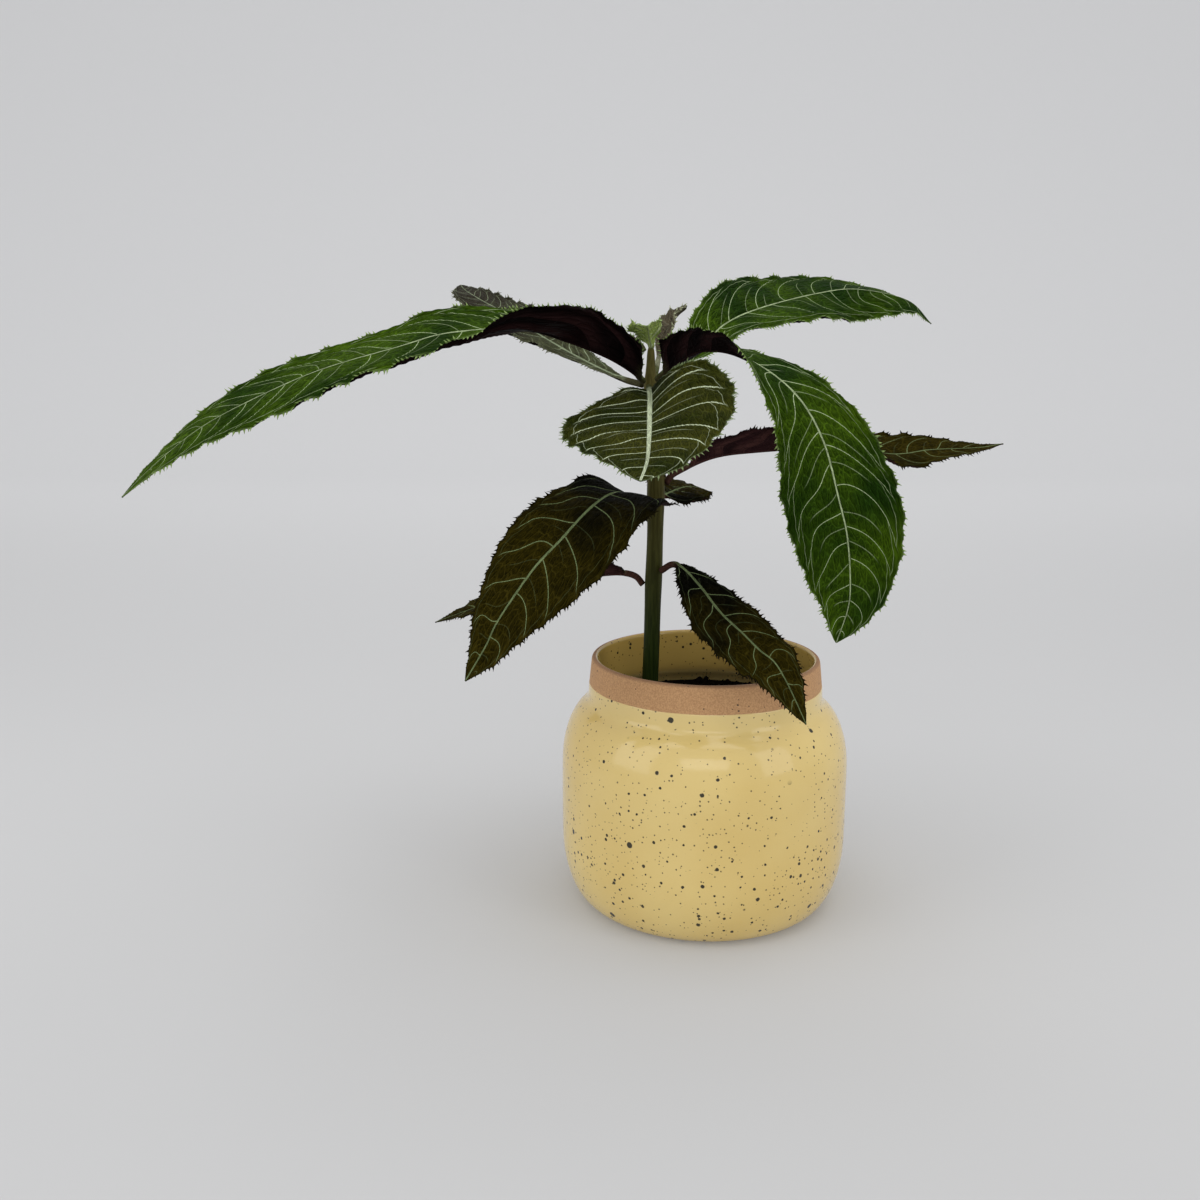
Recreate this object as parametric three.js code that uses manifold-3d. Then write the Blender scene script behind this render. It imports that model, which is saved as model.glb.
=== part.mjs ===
// A potted labisia: one green stem with ten long toothed leaves and three young ones,
// standing in potting soil inside a rounded stoneware pot.
// Millimetres, +Z up. The origin is the centre of the pot's flat underside.
import * as THREE from 'three';
import Module from 'manifold-3d';
import { mergeVertices } from 'three/addons/utils/BufferGeometryUtils.js';

const wasm = await Module();
wasm.setup();

// ---------- driving dimensions ----------

const POT_HEIGHT = 127.5;
const FOOT_RADIUS = 58; // flat underside
const BELLY_RADIUS = 73.4;
const LOWER_ROUND_HEIGHT = 36; // where the rounded lower edge meets the wall
const SHOULDER_START = 72; // where the wall starts to lean in
const SHOULDER_RISE = 33; // semi-axis of the shoulder's arc
const SHOULDER_DEPTH = 16;
const SHOULDER_END_ANGLE = 76; // degrees along that arc
const INNER_SHOULDER_END_ANGLE = 70;
const INNER_SHOULDER_RISE = 32;
const NECK_RADIUS = 59.6;
const NECK_HEIGHT = 108;
const RIM_RADIUS = 58;
const RIM_WALL = 3.4;
const LIP_ROUND = 1.6;
const BELLY_WALL = 4.6;
const POT_FLOOR = 5.5;
const POT_SIDES = 48;
const ARC_STEPS = 7; // along each rounded part of the pot
const LIP_STEPS = 3;

const SOIL_LEVEL = 98.5; // at the wall
const SOIL_MOUND = 1.5; // how much higher the soil is round the stem
const SOIL_EDGE = 2; // width of the low edge along the wall
const CLEARANCE = 0.3; // between pieces that touch

const BURIED_STEM_END = 62;
const STEM_SIDES = 12;

const BLADE_THICKNESS = 1;
const PETIOLE_RADIUS = 1.5;
const TIP_RADIUS = 0.6;
const TOOTH_LENGTH = 2; // marginal teeth, inside the plain outline
const WING_RISE = 0.05; // share of the blade over which a petiole wing opens
const PETIOLE_RINGS = 3;
const BLADE_RINGS = 18;
const ACROSS = [-1, -0.66, -0.3, 0, 0.3, 0.66, 1]; // margin to margin

// the stem's centre line, each point with its radius
const STEM_LINE = [
  { at: [-29.6, 0, BURIED_STEM_END], radius: 4.4 },
  { at: [-28.6, 0, 100], radius: 4.4 },
  { at: [-27, 0, 156], radius: 4.2 },
  { at: [-26, 0, 207], radius: 4.4 },
  { at: [-26, 0, 228], radius: 4.0 },
  { at: [-28, 0, 250], radius: 3.9 },
  { at: [-29, 0, 264], radius: 3.6 },
  { at: [-29, 0, 270], radius: 2.3 },
  { at: [-29, 0, 281], radius: 1.8 },
];

// Each leaf: midrib from the stem to the tip; heading in degrees from +X towards +Y;
// length of the petiole; half widths left and right of the midrib; share of the blade
// where it is widest; exponents of the outline towards the base and the tip; wing along
// the petiole. roll, left, right and curlLeft are angles in degrees at even steps from
// base to tip: the turn about the midrib, the rise of each half, and its further bend.
const LEAVES = {
  leaf_left: {
    midrib: [
      [-33, -5, 265], [-38, -17, 270], [-50, -30, 277], [-68, -40, 284], [-88, -46, 289],
      [-120, -52, 287], [-142, -55, 281], [-176, -60, 271], [-206, -64, 258], [-228, -67, 246],
      [-247, -70, 231], [-262, -71, 217],
    ],
    heading: 195, petiole: 6, half: [22, 23], widest: 0.5, base: 0.9, tip: 0.9, wing: 10,
    roll: [0, 0, -15, -28, -25], left: [75, 88, -30, -32, -12, -5, -5, -5, 0],
    right: [30, 20, 20, 18, 5, -3, -5, -5, 0], curlLeft: [0, 0, 60, 34, 10, 0, 0, 0, 0],
  },
  leaf_front: {
    midrib: [
      [-30, -6, 262], [-30, -25, 258], [-32, -68, 251], [-34, -110, 245], [-36, -142, 239],
      [-39, -160, 234],
    ],
    heading: 270, petiole: 5, half: [38, 36], widest: 0.52, base: 1, tip: 0.75, wing: 7,
    roll: [0, 0], left: [60, 50, 30, 14, 5], right: [20, 3, -3, 0, 0],
  },
  leaf_right_front: {
    midrib: [
      [-26, -6, 266], [-20, -18, 272], [-12, -32, 278], [-5, -44, 280], [6, -55, 278], [22, -63, 269],
      [34, -69, 257], [43, -73, 240], [49, -77, 218], [53, -79, 202], [55, -80, 184], [55, -79, 170],
      [51, -76, 153],
    ],
    heading: -45, petiole: 8, half: [26, 25], widest: 0.68, base: 1.3, tip: 0.8, wing: 16,
    roll: [0, 5, 30, 40, 40], left: [10, 0, -10, 10, 0], right: [70, 78, 52, 8, 3, 0, 0, 0, 0],
  },
  leaf_upper_right: {
    midrib: [
      [-25, 4, 265], [-15, 18, 272], [-3, 32, 279], [11, 48, 292], [32, 66, 301], [67, 92, 311],
      [92, 105, 314], [123, 118, 307], [139, 124, 294],
    ],
    heading: 40, petiole: 14, half: [25, 25], widest: 0.5, base: 1, tip: 0.8, wing: 2,
    roll: [10, 15, 20, 35, 35], left: [45, 40, 8, -20, -20], right: [10, 5, -5, -25, -25],
  },
  leaf_back_left: {
    midrib: [
      [-33, 4, 263], [-44, 22, 266], [-64, 45, 275], [-86, 70, 287], [-104, 93, 298], [-120, 115, 306],
      [-129, 130, 311], [-134, 142, 314], [-137, 150, 317],
    ],
    heading: 132, petiole: 14, half: [18, 18], widest: 0.55, base: 1.4, tip: 0.6, wing: 2,
    roll: [-10, -10], left: [10, 0], right: [20, 20, 10, 5, 5],
  },
  leaf_mid_right: {
    midrib: [
      [-21, 1, 215], [-16, 4, 220], [3, 14, 227], [26, 24, 229], [66, 32, 230], [100, 38, 226],
      [120, 41, 228], [146, 43, 229], [159, 44, 231],
    ],
    heading: 15, petiole: 14, half: [22, 20], widest: 0.5, base: 1.1, tip: 1.1, wing: 5,
    roll: [0, 0, 15, 25, 25], left: [0, 10, 5, 5, 5], right: [80, 58, 25, 0, 0],
  },
  leaf_mid_back: {
    midrib: [[-24, 5, 207], [-18, 20, 208], [-8, 45, 208], [2, 63, 205], [7, 71, 200]],
    heading: 65, petiole: 6, half: [15, 15], widest: 0.4, base: 0.7, tip: 0.8, wing: 3,
    roll: [20, 20], left: [0, 0], right: [0, 0],
  },
  leaf_mid_left: {
    midrib: [
      [-31, -3, 204], [-36, -14, 208], [-44, -28, 214], [-52, -42, 213], [-61, -55, 207],
      [-71, -64, 197], [-83, -71, 185], [-98, -78, 164], [-104, -80, 152], [-113, -82, 137],
    ],
    heading: 222, petiole: 5, half: [29, 24], widest: 0.43, base: 0.38, tip: 0.85, wing: 5,
    roll: [-10, -20, -28, -28], left: [20, 10, 5, 0, 0], right: [5, -8, 3, 0, 0],
  },
  leaf_low_left: {
    midrib: [
      [-32, 1, 164], [-36, 3, 168], [-44, 6, 169], [-58, 14, 166], [-85, 28, 159], [-118, 42, 144],
      [-144, 50, 133],
    ],
    heading: 160, petiole: 11, half: [17, 17], widest: 0.5, base: 0.7, tip: 1, wing: 4,
    roll: [0, -20], left: [60, 30, 10, 0], right: [10, 10],
  },
  leaf_low_right: {
    midrib: [
      [-23, -4, 172], [-18, -9, 176], [-13, -14, 175], [-5, -28, 168], [3, -42, 159], [12, -54, 152],
      [19, -62, 146], [25, -68, 142], [29, -74, 136], [33, -78, 128], [38, -82, 117],
    ],
    heading: -48, petiole: 10, half: [13, 17], widest: 0.52, base: 0.6, tip: 0.9, wing: 0,
    roll: [10, 35, 35], left: [5, 5], right: [5, 5],
  },
  young_leaf_back: {
    midrib: [[-27, 5, 267], [-24, 13, 278], [-20, 22, 289], [-15, 29, 296], [-10, 35, 300]],
    heading: 70, petiole: 5, half: [8, 8], widest: 0.65, base: 1, tip: 0.45, wing: 0,
    roll: [0, -30], left: [30, 30], right: [30, 30],
  },
  young_leaf_front: {
    midrib: [[-29, -3.6, 281.5], [-29.6, -9, 283], [-30.6, -17, 286], [-31.4, -24, 289], [-32, -29, 290.5]],
    heading: 268, petiole: 2, half: [9, 11], widest: 0.55, base: 0.7, tip: 0.9, wing: 0,
    roll: [0, 0], left: [45, 48], right: [25, 22],
  },
  young_leaf_left: {
    midrib: [[-32.5, 1, 279], [-35, 0, 283], [-38, -2, 285], [-42, -4, 283]],
    heading: 205, petiole: 3, half: [4, 4], widest: 0.5, base: 1, tip: 1, wing: 0,
    roll: [0, 0], left: [10, 10], right: [10, 10],
  },
};

// ---------- materials ----------

const finish = (color, roughness) => new THREE.MeshStandardMaterial({ color, roughness, metalness: 0 });
const GLAZE = finish('#c9b378', 0.2);
const SOIL = finish('#1c140f', 0.95);
const STEM_GREEN = finish('#3c4a1e', 0.5);
const UPPER_LEAF_GREEN = finish('#3f6a24', 0.5);
const LOWER_LEAF_BROWN = finish('#2b2a18', 0.5);
const YOUNG_LEAF_GREEN = finish('#8fae55', 0.5);

// ---------- helpers ----------

const radians = THREE.MathUtils.degToRad;

// a value between even steps of a short list, easing a little at each step
function along(list, share) {
  const place = THREE.MathUtils.clamp(share, 0, 1) * (list.length - 1);
  const step = Math.min(Math.floor(place), list.length - 2);
  const rest = place - step;
  const eased = (rest * rest * (3 - 2 * rest) + rest) / 2;
  return THREE.MathUtils.lerp(list[step], list[step + 1], eased);
}

// points of an arc of an ellipse, angles in degrees from its widest point upwards
function arcPoints(centreX, centreY, radiusX, radiusY, from, to, steps) {
  const points = [];
  for (let i = 0; i <= steps; i += 1) {
    const angle = radians(from + ((to - from) * i) / steps);
    points.push(new THREE.Vector2(centreX + radiusX * Math.cos(angle), centreY + radiusY * Math.sin(angle)));
  }
  return points;
}

// one closed skin over rings of equal size, with a point at the middle of each end
function skinGeometry(rings) {
  const size = rings[0].length;
  const positions = rings.flat().flatMap((point) => point.toArray());
  const indices = [];
  for (let i = 0; i < rings.length - 1; i += 1) {
    for (let j = 0; j < size; j += 1) {
      const a = i * size + j;
      const b = i * size + ((j + 1) % size);
      indices.push(a, b, a + size, b, b + size, a + size);
    }
  }
  for (const [ring, first] of [[rings[0], 0], [rings[rings.length - 1], (rings.length - 1) * size]]) {
    const middle = ring.reduce((sum, point) => sum.add(point), new THREE.Vector3()).divideScalar(size);
    const centre = positions.length / 3;
    positions.push(...middle.toArray());
    for (let j = 0; j < size; j += 1) {
      const a = first + j;
      const b = first + ((j + 1) % size);
      indices.push(...(first === 0 ? [centre, b, a] : [centre, a, b]));
    }
  }
  const geometry = new THREE.BufferGeometry();
  geometry.setAttribute('position', new THREE.Float32BufferAttribute(positions, 3));
  geometry.setIndex(indices);
  geometry.computeVertexNormals();
  return geometry;
}

function mesh(name, geometry, material) {
  const made = new THREE.Mesh(geometry, material);
  made.name = name;
  return made;
}

// ---------- leaves ----------

const curveThrough = (points) =>
  new THREE.CatmullRomCurve3(points.map((point) => new THREE.Vector3(...point)), false, 'catmullrom', 0.5);

// half widths left and right of the midrib at a share of the blade's length
function halfWidths(leaf, share) {
  if (share <= 0) return [0, 0];
  const power = Math.log(0.5) / Math.log(leaf.widest);
  const swell = Math.sin(Math.PI * share ** power) ** (share < leaf.widest ? leaf.base : leaf.tip);
  const wing = leaf.wing * Math.min(1, share / WING_RISE) * (1 - share) ** 3;
  return leaf.half.map((half) => half * swell + wing + TOOTH_LENGTH);
}

// one ring round the leaf at a share of its whole length
function leafRing(leaf, curve, share) {
  const petioleShare = leaf.petiole / curve.getLength();
  const bladeShare = (share - petioleShare) / (1 - petioleShare);
  const centre = curve.getPointAt(share);
  const forward = curve.getTangentAt(share);
  const heading = radians(leaf.heading);
  const level = new THREE.Vector3(Math.sin(heading), -Math.cos(heading), 0);
  const side = level.addScaledVector(forward, -level.dot(forward)).normalize();
  side.applyAxisAngle(forward, radians(along(leaf.roll, share)));
  const up = side.clone().cross(forward);
  const stalk = THREE.MathUtils.lerp(PETIOLE_RADIUS, TIP_RADIUS, Math.max(0, bladeShare));
  const [leftWidth, rightWidth] = halfWidths(leaf, bladeShare);

  const top = [];
  const bottom = [];
  for (const across of ACROSS) {
    const isRight = across >= 0;
    const width = Math.max(stalk, isRight ? rightWidth : leftWidth);
    const bladeOut = isRight ? side : side.clone().negate();
    const rise = radians(along(isRight ? leaf.right : leaf.left, bladeShare));
    const curl = isRight ? 0 : radians(along(leaf.curlLeft ?? [0, 0], bladeShare));
    const reach = Math.abs(across);
    const opening = Math.min(1, width / (2 * PETIOLE_RADIUS)) * (width > stalk ? 1 : 0);
    const chord = (rise + curl * reach) * opening;
    const slope = (rise + 2 * curl * reach) * opening;
    const place = centre.clone()
      .addScaledVector(bladeOut, width * reach * Math.cos(chord))
      .addScaledVector(up, width * reach * Math.sin(chord));
    const inStalk = Math.max(0, 1 - ((width * reach) / stalk) ** 2);
    const thick = Math.max(BLADE_THICKNESS / 2, stalk * Math.sqrt(inStalk));
    const normal = across === 0
      ? up.clone()
      : up.clone().multiplyScalar(Math.cos(slope)).addScaledVector(bladeOut, -Math.sin(slope));
    if (reach === 1) {
      top.push(place);
      continue;
    }
    top.push(place.clone().addScaledVector(normal, thick));
    bottom.unshift(place.clone().addScaledVector(normal, -thick));
  }
  return [...top, ...bottom];
}

function leafGeometry(leaf) {
  const curve = curveThrough(leaf.midrib);
  const petioleShare = leaf.petiole / curve.getLength();
  const shares = [];
  for (let i = 0; i < PETIOLE_RINGS; i += 1) shares.push((petioleShare * i) / PETIOLE_RINGS);
  for (let i = 0; i <= BLADE_RINGS; i += 1) {
    shares.push(THREE.MathUtils.lerp(petioleShare, 1, i / BLADE_RINGS));
  }
  return skinGeometry(shares.map((share) => leafRing(leaf, curve, share)));
}

// ---------- stem ----------

function stemRings(extra = 0) {
  const curve = curveThrough(STEM_LINE.map((point) => point.at));
  return STEM_LINE.map(({ radius }, index) => {
    const centre = curve.getPoint(index / (STEM_LINE.length - 1));
    const ring = [];
    for (let i = 0; i < STEM_SIDES; i += 1) {
      const angle = (2 * Math.PI * i) / STEM_SIDES;
      const spoke = new THREE.Vector3(Math.cos(angle), Math.sin(angle), 0);
      ring.push(centre.clone().addScaledVector(spoke, radius + extra));
    }
    return ring;
  });
}

// ---------- pot ----------

// outside of the pot from the underside up to the lip
function potOutside() {
  const footRound = BELLY_RADIUS - FOOT_RADIUS;
  const lower = arcPoints(FOOT_RADIUS, LOWER_ROUND_HEIGHT, footRound, LOWER_ROUND_HEIGHT, -90, 0, ARC_STEPS);
  const shoulderX = BELLY_RADIUS - SHOULDER_DEPTH;
  const shoulder = arcPoints(
    shoulderX, SHOULDER_START, SHOULDER_DEPTH, SHOULDER_RISE, 0, SHOULDER_END_ANGLE, ARC_STEPS,
  );
  return [...lower, ...shoulder, new THREE.Vector2(NECK_RADIUS, NECK_HEIGHT)];
}

// inside of the pot's wall, from its floor up to the neck; the gap moves it inwards
function potInside(gap = 0) {
  const wall = BELLY_WALL + gap;
  const floor = POT_FLOOR + gap;
  const bellyInside = BELLY_RADIUS - wall;
  const footRound = BELLY_RADIUS - FOOT_RADIUS;
  const lower = arcPoints(
    bellyInside - footRound, LOWER_ROUND_HEIGHT, footRound, LOWER_ROUND_HEIGHT - floor, -90, 0, ARC_STEPS,
  );
  const shoulder = arcPoints(
    bellyInside - SHOULDER_DEPTH, SHOULDER_START, SHOULDER_DEPTH, INNER_SHOULDER_RISE,
    0, INNER_SHOULDER_END_ANGLE, ARC_STEPS,
  );
  return [...lower, ...shoulder];
}

function potGeometry() {
  const lipHeight = POT_HEIGHT - LIP_ROUND;
  const rimInside = RIM_RADIUS - RIM_WALL;
  const profile = [
    new THREE.Vector2(0, 0),
    ...potOutside(),
    ...arcPoints(RIM_RADIUS - LIP_ROUND, lipHeight, LIP_ROUND, LIP_ROUND, 0, 90, LIP_STEPS),
    ...arcPoints(rimInside + LIP_ROUND, lipHeight, LIP_ROUND, LIP_ROUND, 90, 180, LIP_STEPS),
    new THREE.Vector2(rimInside, NECK_HEIGHT),
    ...potInside().reverse(),
    new THREE.Vector2(0, POT_FLOOR),
  ];
  return new THREE.LatheGeometry(profile, POT_SIDES).rotateX(Math.PI / 2);
}

// ---------- soil ----------

function solidFrom(geometry) {
  const bare = geometry.clone();
  bare.deleteAttribute('normal');
  if (bare.attributes.uv) bare.deleteAttribute('uv');
  const merged = mergeVertices(bare);
  return new wasm.Manifold(new wasm.Mesh({
    numProp: 3,
    vertProperties: merged.attributes.position.array,
    triVerts: new Uint32Array(merged.index.array),
  }));
}

function geometryFrom(solid) {
  const { vertProperties, triVerts } = solid.getMesh();
  const geometry = new THREE.BufferGeometry();
  geometry.setAttribute('position', new THREE.BufferAttribute(new Float32Array(vertProperties), 3));
  geometry.setIndex(new THREE.BufferAttribute(new Uint32Array(triVerts), 1));
  geometry.computeVertexNormals();
  return geometry;
}

// the soil fills the pot up to its level, with a pocket round the buried stem
function soilGeometry() {
  const wall = potInside(CLEARANCE).filter((point) => point.y < SOIL_LEVEL);
  const edge = wall[wall.length - 1];
  const top = [
    new THREE.Vector2(edge.x - SOIL_EDGE, SOIL_LEVEL),
    new THREE.Vector2(0, SOIL_LEVEL + SOIL_MOUND),
  ];
  const profile = [new THREE.Vector2(0, POT_FLOOR + CLEARANCE), ...wall, ...top];
  const body = solidFrom(new THREE.LatheGeometry(profile, POT_SIDES).rotateX(Math.PI / 2));
  const pocket = solidFrom(skinGeometry(stemRings(CLEARANCE)).translate(0, 0, -CLEARANCE));
  return geometryFrom(body.subtract(pocket));
}

// ---------- the whole plant in its pot ----------

function leafMaterial(name) {
  if (name.startsWith('young')) return YOUNG_LEAF_GREEN;
  return name.includes('_mid_') || name.includes('_low_') ? LOWER_LEAF_BROWN : UPPER_LEAF_GREEN;
}

const plant = new THREE.Group();
plant.add(mesh('pot', potGeometry(), GLAZE));
plant.add(mesh('potting_soil', soilGeometry(), SOIL));
plant.add(mesh('stem', skinGeometry(stemRings()), STEM_GREEN));
for (const [name, leaf] of Object.entries(LEAVES)) {
  plant.add(mesh(name, leafGeometry(leaf), leafMaterial(name)));
}

export default plant;
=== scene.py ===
"""A potted labisia: long toothed leaves with pale veins on one stem, in a speckled stoneware pot."""
import math

import bpy
import numpy as np
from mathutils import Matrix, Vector


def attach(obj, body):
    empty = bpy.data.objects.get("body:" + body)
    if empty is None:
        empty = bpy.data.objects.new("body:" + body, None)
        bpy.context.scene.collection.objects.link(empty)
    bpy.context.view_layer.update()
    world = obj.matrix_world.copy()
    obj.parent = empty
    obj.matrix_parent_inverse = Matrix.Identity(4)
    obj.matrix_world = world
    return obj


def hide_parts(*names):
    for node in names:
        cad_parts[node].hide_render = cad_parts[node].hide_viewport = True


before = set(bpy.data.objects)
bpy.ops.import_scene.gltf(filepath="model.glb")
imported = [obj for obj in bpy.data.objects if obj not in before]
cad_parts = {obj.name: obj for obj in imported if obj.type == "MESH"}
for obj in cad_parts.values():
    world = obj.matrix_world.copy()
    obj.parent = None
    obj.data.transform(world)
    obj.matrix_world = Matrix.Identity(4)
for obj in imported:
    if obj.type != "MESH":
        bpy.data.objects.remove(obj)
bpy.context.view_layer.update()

MM = 0.001

# ---------- the pot and the soil, in millimetres ----------

POT_HEIGHT = 127.5
FOOT_RADIUS = 58
BELLY_RADIUS = 73.3
LOWER_ROUND_HEIGHT = 36
SHOULDER_START = 72
SHOULDER_RISE = 33
SHOULDER_DEPTH = 16
NECK_RADIUS = 59.5
NECK_HEIGHT = 107.5
GLAZE_LINE = 113.9  # the glaze ends here, and bare clay shows above it
CLAY_OVERHANG = 1.2  # the clay band stands out past the rim by this
RIM_RADIUS = 57.9
RIM_WALL = 3.3
BELLY_WALL = 4.6
POT_FLOOR = 5.5
POT_SIDES = 48
SOIL_LEVEL = 98.5
SOIL_SIDES = 96
SOIL_RINGS = 30  # from the wall to the middle of the soil's top
SOIL_GAP = 0.4  # between the soil and the pot
STEM_SIDES = 20

# ---------- the stem's centre line, each point with its radius ----------

STEM_LINE = [
    ((-29.6, 0, 64), 4.2),
    ((-29.3, 0, 84), 4.3),
    ((-28.6, 0, 100), 4.3),
    ((-27.4, 0, 128), 4.15),
    ((-27, 0, 154), 4.1),
    ((-26.8, 0, 163), 4.45),
    ((-26.5, 0, 172), 4.35),
    ((-26.2, 0, 184), 4.05),
    ((-26, 0, 198), 4.1),
    ((-26, 0, 206), 4.6),
    ((-26, 0, 214), 4.4),
    ((-26.2, 0, 228), 3.9),
    ((-27.5, 0, 246), 3.8),
    ((-28.6, 0, 258), 3.8),
    ((-29, 0, 264), 3.6),
    ((-29, 0, 268), 2.6),
    ((-29, 0, 274), 2.1),
    ((-29, 0, 280), 1.8),
]

# Each leaf: midrib from the stem to the tip; heading in degrees from +X towards +Y;
# length of the petiole; half widths left and right of the midrib; share of the blade
# where it is widest; exponents of the outline towards the base and the tip; wing along
# the petiole. roll, left, right and curl are angles in degrees at even steps from base
# to tip: the turn about the midrib, the rise of each half, and the left half's further bend.
# rib is half the midrib's width near the base; veins is the number of side veins on each half.
LEAVES = {
    "leaf_left": dict(
        midrib=[(-33, -5, 265), (-38, -17, 270), (-50, -30, 277), (-68, -40, 284), (-88, -46, 289),
                (-120, -52, 287), (-142, -55, 281), (-176, -60, 271), (-206, -64, 258), (-228, -67, 246),
                (-247, -70, 231), (-262, -71, 217)],
        heading=195, petiole=6, half=(22, 23), widest=0.5, base=0.9, tip=0.9, wing=10,
        roll=(0, 0, -15, -28, -25), left=(75, 88, -30, -32, -12, -5, -5, -5, 0),
        right=(30, 20, 20, 18, 5, -3, -5, -5, 0), curl=(0, 0, 60, 34, 10, 0, 0, 0, 0), rib=0.5, veins=13),
    "leaf_front": dict(
        midrib=[(-30, -6, 262), (-30, -25, 258), (-32, -68, 251), (-34, -110, 245), (-36, -142, 239),
                (-39, -160, 234)],
        heading=270, petiole=5, half=(38, 36), widest=0.52, base=1, tip=0.75, wing=7,
        roll=(0, 0), left=(60, 50, 30, 14, 5), right=(20, 3, -3, 0, 0), curl=(0, 0), rib=1.5, veins=8),
    "leaf_right_front": dict(
        midrib=[(-26, -6, 266), (-20, -18, 272), (-12, -32, 278), (-5, -44, 280), (6, -55, 278),
                (22, -63, 269), (34, -69, 257), (43, -73, 240), (49, -77, 218), (53, -79, 202),
                (55, -80, 184), (55, -79, 170), (51, -76, 153)],
        heading=-45, petiole=8, half=(26, 25), widest=0.68, base=1.3, tip=0.8, wing=16,
        roll=(0, 5, 30, 40, 40), left=(10, 0, -10, 10, 0), right=(70, 78, 52, 8, 3, 0, 0, 0, 0),
        curl=(0, 0), rib=0.6, veins=12),
    "leaf_upper_right": dict(
        midrib=[(-25, 4, 265), (-15, 18, 272), (-3, 32, 279), (11, 48, 292), (32, 66, 301),
                (67, 92, 309.8), (92, 105, 312.5), (123, 118, 307), (139, 124, 294)],
        heading=40, petiole=14, half=(25, 25), widest=0.5, base=1, tip=0.8, wing=2,
        roll=(10, 15, 20, 35, 35), left=(45, 40, 8, -20, -20), right=(10, 5, -5, -25, -25),
        curl=(0, 0), rib=0.52, veins=10),
    "leaf_back_left": dict(
        midrib=[(-33, 4, 263), (-44, 22, 266), (-64, 45, 275), (-86, 70, 287), (-104, 93, 298),
                (-120, 115, 306), (-129, 130, 311), (-134, 142, 314), (-137, 150, 317)],
        heading=132, petiole=14, half=(18, 18), widest=0.55, base=1.4, tip=0.6, wing=2,
        roll=(-10, -10), left=(10, 0), right=(20, 20, 10, 5, 5), curl=(0, 0), rib=0.7, veins=12),
    "leaf_mid_right": dict(
        midrib=[(-21, 1, 215), (-16, 4, 220), (3, 14, 227), (26, 24, 229), (66, 32, 230), (100, 38, 226),
                (120, 41, 228), (146, 43, 229), (159, 44, 231)],
        heading=15, petiole=14, half=(22, 20), widest=0.5, base=1.1, tip=1.1, wing=5,
        roll=(0, 0, 15, 25, 25), left=(0, 10, 5, 5, 5), right=(80, 58, 25, 0, 0), curl=(0, 0),
        rib=0.7, veins=11),
    "leaf_mid_back": dict(
        midrib=[(-24, 5, 207), (-18, 20, 208), (-8, 45, 208), (2, 63, 205), (7, 71, 200)],
        heading=65, petiole=6, half=(15, 15), widest=0.4, base=0.7, tip=0.8, wing=3,
        roll=(20, 20), left=(0, 0), right=(0, 0), curl=(0, 0), rib=0.6, veins=7),
    "leaf_mid_left": dict(
        midrib=[(-31, -3, 204), (-36, -14, 208), (-44, -28, 214), (-52, -42, 213), (-61, -55, 207),
                (-71, -64, 197), (-83, -71, 185), (-98, -78, 164), (-104, -80, 152), (-113, -82, 137)],
        heading=222, petiole=5, half=(29, 24), widest=0.43, base=0.38, tip=0.85, wing=5,
        roll=(-10, -20, -28, -28), left=(20, 10, 5, 0, 0), right=(5, -8, 3, 0, 0), curl=(0, 0),
        rib=0.85, veins=8),
    "leaf_low_left": dict(
        midrib=[(-32, 1, 164), (-36, 3, 168), (-44, 6, 169), (-58, 14, 166), (-85, 28, 159),
                (-118, 42, 144), (-144, 50, 133)],
        heading=160, petiole=11, half=(17, 17), widest=0.5, base=0.7, tip=1, wing=4,
        roll=(0, -20), left=(60, 30, 10, 0), right=(10, 10), curl=(0, 0), rib=0.7, veins=8),
    "leaf_low_right": dict(
        midrib=[(-23, -4, 172), (-18, -9, 176), (-13, -14, 175), (-5, -28, 168), (3, -42, 159),
                (12, -54, 152), (19, -62, 146), (25, -68, 142), (29, -74, 136), (33, -78, 128),
                (38, -82, 117)],
        heading=-48, petiole=10, half=(13, 17), widest=0.52, base=0.6, tip=0.9, wing=0,
        roll=(10, 35, 35), left=(5, 5), right=(5, 5), curl=(0, 0), rib=0.65, veins=7),
    "young_leaf_back": dict(
        midrib=[(-27, 5, 267), (-24, 13, 278), (-20, 22, 289), (-15, 29, 296), (-10, 35, 300)],
        heading=70, petiole=5, half=(8, 8), widest=0.65, base=1, tip=0.45, wing=0,
        roll=(0, -30), left=(30, 30), right=(30, 30), curl=(0, 0), rib=0.35, veins=6),
    "young_leaf_front": dict(
        midrib=[(-29, -3.6, 281.5), (-29.6, -9, 283), (-30.6, -17, 286), (-31.4, -24, 289),
                (-32, -29, 290.5)],
        heading=268, petiole=2, half=(9, 11), widest=0.55, base=0.7, tip=0.9, wing=0,
        roll=(0, 0), left=(45, 48), right=(25, 22), curl=(0, 0), rib=0.4, veins=5),
    "young_leaf_left": dict(
        midrib=[(-32.5, 1, 279), (-35, 0, 283), (-38, -2, 285), (-42, -4, 283)],
        heading=205, petiole=3, half=(4, 4), widest=0.5, base=1, tip=1, wing=0,
        roll=(0, 0), left=(10, 10), right=(10, 10), curl=(0, 0), rib=0.3, veins=4),
}

DARK_LEAVES = ("leaf_mid_right", "leaf_mid_back", "leaf_mid_left", "leaf_low_left", "leaf_low_right")

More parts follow.
